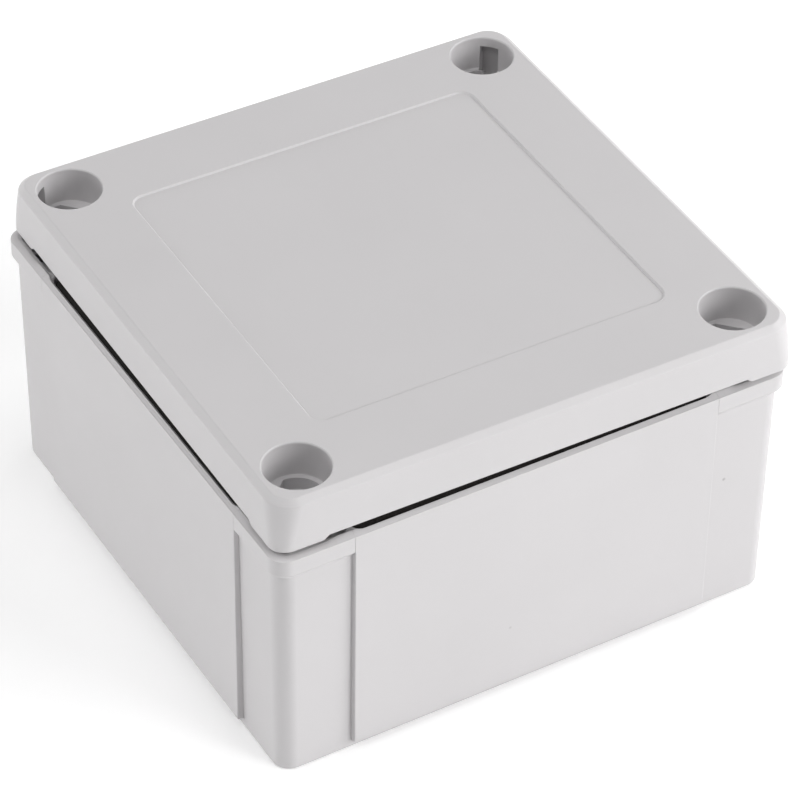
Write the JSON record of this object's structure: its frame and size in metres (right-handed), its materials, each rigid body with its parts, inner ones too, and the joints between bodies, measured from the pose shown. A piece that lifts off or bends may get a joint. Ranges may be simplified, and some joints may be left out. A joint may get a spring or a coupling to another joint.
{
  "type": "electrical junction box",
  "caption": "Square wall-mounting junction box with a raised-panel base, captive quarter-turn screws in the lid's corner wells, a sealing gasket and rail terminals inside.",
  "frame": {"origin": "middle of the flat back face that goes on the wall", "axes": "+Z out of the wall through the lid; X along the rail; -Y is the nearer right-hand side in the picture"},
  "size_m": [0.132, 0.1313, 0.0782],
  "materials": {
    "grey_plastic": "light grey moulded plastic, fine satin texture",
    "foam_rubber": "black foam rubber",
    "plated_steel": "zinc-plated steel, bright",
    "spring_steel": "spring steel, plain",
    "tinned_copper": "tinned copper",
    "terminal_grey": "grey polyamide",
    "terminal_blue": "blue polyamide",
    "terminal_green": "green polyamide with yellow sides",
    "bracket_grey": "dark grey polyamide"
  },
  "bodies": {
    "enclosure": {"enclosure_base": "grey_plastic", "lid_gasket": "foam_rubber", "din_rail": "plated_steel", "rail_screw_left": "plated_steel", "rail_screw_right": "plated_steel", "terminal_line_1": "terminal_grey", "current_bar_line_1": "tinned_copper", "clamp_spring_line_1_front": "spring_steel", "clamp_spring_line_1_back": "spring_steel", "terminal_line_2": "terminal_grey", "current_bar_line_2": "tinned_copper", "clamp_spring_line_2_front": "spring_steel", "clamp_spring_line_2_back": "spring_steel", "terminal_line_3": "terminal_grey", "current_bar_line_3": "tinned_copper", "clamp_spring_line_3_front": "spring_steel", "clamp_spring_line_3_back": "spring_steel", "terminal_neutral": "terminal_blue", "current_bar_neutral": "tinned_copper", "clamp_spring_neutral_front": "spring_steel", "clamp_spring_neutral_back": "spring_steel", "terminal_earth": "terminal_green", "current_bar_earth": "tinned_copper", "clamp_spring_earth_front": "spring_steel", "clamp_spring_earth_back": "spring_steel", "terminal_end_cover": "bracket_grey", "end_bracket_left": "bracket_grey", "end_bracket_right": "bracket_grey"},
    "lid_body": {"lid": "grey_plastic"},
    "screw_front_left": {"lid_screw_front_left": "plated_steel", "screw_pin_front_left": "spring_steel"},
    "screw_front_right": {"lid_screw_front_right": "plated_steel", "screw_pin_front_right": "spring_steel"},
    "screw_back_right": {"lid_screw_back_right": "plated_steel", "screw_pin_back_right": "spring_steel"},
    "screw_back_left": {"lid_screw_back_left": "plated_steel", "screw_pin_back_left": "spring_steel"}
  },
  "joints": [
    {"name": "lid_lift", "type": "slide", "parent": "enclosure", "child": "lid_body", "axis": [0, 0, 1], "range_m": [-0.0014, 0.06], "deforming": ["lid_gasket"]},
    {"name": "screw_turn_front_left", "type": "hinge", "parent": "lid_body", "child": "screw_front_left", "pos_m": [-0.05369, -0.05354, 0.0653], "axis": [0, 0, 1], "range_deg": [-90, 0]},
    {"name": "screw_turn_front_right", "type": "hinge", "parent": "lid_body", "child": "screw_front_right", "pos_m": [0.0551, -0.05477, 0.0653], "axis": [0, 0, 1], "range_deg": [-90, 0]},
    {"name": "screw_turn_back_right", "type": "hinge", "parent": "lid_body", "child": "screw_back_right", "pos_m": [0.05633, 0.05402, 0.0653], "axis": [0, 0, 1], "range_deg": [-90, 0]},
    {"name": "screw_turn_back_left", "type": "hinge", "parent": "lid_body", "child": "screw_back_left", "pos_m": [-0.05246, 0.05525, 0.0653], "axis": [0, 0, 1], "range_deg": [-90, 0]}
  ]
}
